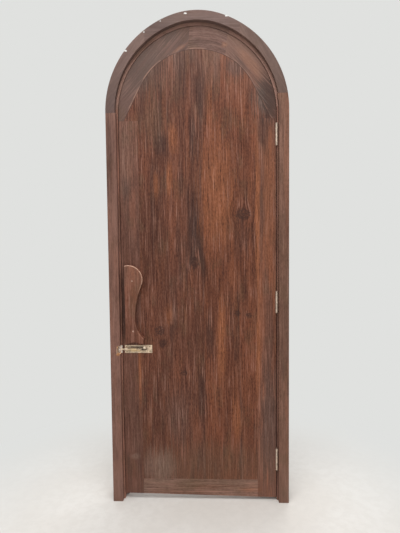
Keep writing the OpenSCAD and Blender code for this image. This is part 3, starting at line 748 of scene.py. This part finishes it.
def screw_mesh(verts, faces, place, size, turn):
    """Adds one countersunk wood screw with a slot in its head to the lists."""
    head, shank, length = size
    side = INWARD.orthogonal().normalized()
    side.rotate(Matrix.Rotation(turn, 3, INWARD))
    other = INWARD.cross(side)

    def put(radius, angle, depth):
        flat = side * (radius * math.cos(angle)) + other * (radius * math.sin(angle))
        verts.append(Vector(place) + flat + INWARD * depth)
        return len(verts) - 1

    angles = [2 * math.pi * i / SCREW_SIDES for i in range(SCREW_SIDES)]
    profile = [(head, 0), (shank, head - shank), (shank, length - shank), (TIP_SHARE * shank, length)]
    rings = [[put(radius, angle, depth) for angle in angles] for radius, depth in profile]
    for low, high in zip(rings, rings[1:]):
        for i in range(SCREW_SIDES):
            j = (i + 1) % SCREW_SIDES
            faces.append((low[i], low[j], high[j], high[i]))
    faces.append(tuple(rings[-1]))

    # The head's face: a cap on each side of the slot, and the slot's sides and bottom
    edge = math.asin(SLOT_HALF)
    deep = SLOT_DEPTH * (head - shank)
    bottom = []
    for start in (0, math.pi):
        turned = {i: (angles[i] - start) % (2 * math.pi) for i in range(SCREW_SIDES)}
        cap = [i for i in range(SCREW_SIDES) if edge < turned[i] < math.pi - edge]
        cap.sort(key=turned.get)
        first = put(head, start + edge, 0)
        last = put(head, start + math.pi - edge, 0)
        faces.append((first, *[rings[0][i] for i in cap], last))
        first_low = put(head * SLOT_END, start + edge, deep)
        last_low = put(head * SLOT_END, start + math.pi - edge, deep)
        faces.append((first, last, last_low, first_low))
        bottom += [first_low, last_low]
    faces.append(tuple(bottom))


def add_screws(node, places, size, material, body):
    """Slotted screws in place of a node's plain ones, with their heads at the same depth."""
    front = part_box(node)[0][1]
    verts = []
    faces = []
    for i, (x, z) in enumerate(places):
        screw_mesh(verts, faces, (x, front, z), size, FIRST_TURN + NEXT_TURN * i)
    data = bpy.data.meshes.new("slotted_" + node)
    data.from_pydata(verts, [], faces)
    data.materials.append(material)
    piece = bpy.data.objects.new("slotted_" + node, data)
    bpy.context.scene.collection.objects.link(piece)
    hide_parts(node)
    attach(piece, body)


def soften(node):
    """Rounds the sharp edges of a wooden piece a little."""
    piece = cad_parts[node]
    weld = piece.modifiers.new("weld", "WELD")
    weld.merge_threshold = WELD_WITHIN
    bevel = piece.modifiers.new("bevel", "BEVEL")
    bevel.width = EDGE_WIDTH
    bevel.segments = EDGE_STEPS
    bevel.limit_method = "ANGLE"
    bevel.angle_limit = math.radians(EDGE_ANGLE)


def floor_material():
    """A pale, faintly speckled floor that fades into the background where it is seen far off."""
    net = Net("floor")
    wide = net.noise(net.place, (3, 3, 3), 2, 0.5)
    fine = net.noise(net.place, (26, 26, 26), 4, 0.6)
    net.colour = net.mix(net.ramp(wide, *MIDDLE), FLOOR, FLOOR_CLOUD)
    net.coat(net.ramp(fine, 0.40, 0.62, 0.0, 0.4), FLOOR_SPECK)
    net.surface("Roughness", FLOOR_ROUGH)
    net.surface("Specular IOR Level", FLOOR_SHINE)
    far = net.length(net.mapping(net.place, shift=(0, -FADE_SPOT_Y, 0)))
    path = net.node("ShaderNodeLightPath")
    seen = net.math("MAXIMUM", path.outputs["Is Camera Ray"], path.outputs["Is Glossy Ray"])
    glow = net.node("ShaderNodeEmission")
    glow.inputs["Color"].default_value = linear(BACK)
    fade = net.times(net.ramp(far, FADE_FROM, FADE_TO), seen)
    blend = net.node("ShaderNodeMixShader")
    for socket, value in zip(blend.inputs, (fade, net.shader.outputs[0], glow.outputs[0])):
        net.put(socket, value)
    net.put(net.tree.nodes["Material Output"].inputs["Surface"], blend.outputs[0])
    return net.material


def lay_floor():
    data = bpy.data.meshes.new("floor")
    half = FLOOR_HALF
    corners = [(-half, -half, 0), (half, -half, 0), (half, half, 0), (-half, half, 0)]
    data.from_pydata(corners, [], [(0, 1, 2, 3)])
    data.materials.append(floor_material())
    floor = bpy.data.objects.new("floor", data)
    bpy.context.scene.collection.objects.link(floor)


def hang_sky():
    """A world that lights the object as an even sky and looks like the plain background."""
    world = bpy.data.worlds.new("room")
    world.use_nodes = True
    tree = world.node_tree
    sky = tree.nodes["Background"]
    sky.inputs["Color"].default_value = SKY
    sky.inputs["Strength"].default_value = SKY_POWER
    back = tree.nodes.new("ShaderNodeBackground")
    back.inputs["Color"].default_value = linear(BACK)
    path = tree.nodes.new("ShaderNodeLightPath")
    seen = path.outputs["Is Camera Ray"]
    for kind in ("Is Transmission Ray", "Is Glossy Ray"):
        either = tree.nodes.new("ShaderNodeMath")
        either.operation = "MAXIMUM"
        tree.links.new(seen, either.inputs[0])
        tree.links.new(path.outputs[kind], either.inputs[1])
        seen = either.outputs[0]
    blend = tree.nodes.new("ShaderNodeMixShader")
    for socket, value in zip(blend.inputs, (seen, sky.outputs[0], back.outputs[0])):
        tree.links.new(value, socket)
    tree.links.new(blend.outputs[0], tree.nodes["World Output"].inputs[0])
    bpy.context.scene.world = world


def light_room():
    bpy.context.scene.view_settings.view_transform = "Standard"
    hang_sky()
    for name, (place, aim, watts) in LAMPS.items():
        data = bpy.data.lights.new(name, "AREA")
        data.shape = "DISK"
        data.size = LAMP_WIDTH
        data.energy = watts
        lamp = bpy.data.objects.new(name, data)
        bpy.context.scene.collection.objects.link(lamp)
        lamp.location = place
        lamp.rotation_euler = (Vector(aim) - Vector(place)).to_track_quat("-Z", "Y").to_euler()


place_camera()
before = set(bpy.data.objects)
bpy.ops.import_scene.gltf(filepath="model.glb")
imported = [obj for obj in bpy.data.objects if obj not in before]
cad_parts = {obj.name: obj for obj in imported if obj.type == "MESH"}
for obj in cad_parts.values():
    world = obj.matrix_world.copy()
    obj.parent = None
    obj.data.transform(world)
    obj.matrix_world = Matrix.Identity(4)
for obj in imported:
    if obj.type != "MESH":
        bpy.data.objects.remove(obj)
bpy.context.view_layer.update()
lay_floor()
light_room()
paint_leaf()
paint_frame()
paint_metal()
for node in [*LEAF_WOOD, *FRAME_WOOD]:
    soften(node)
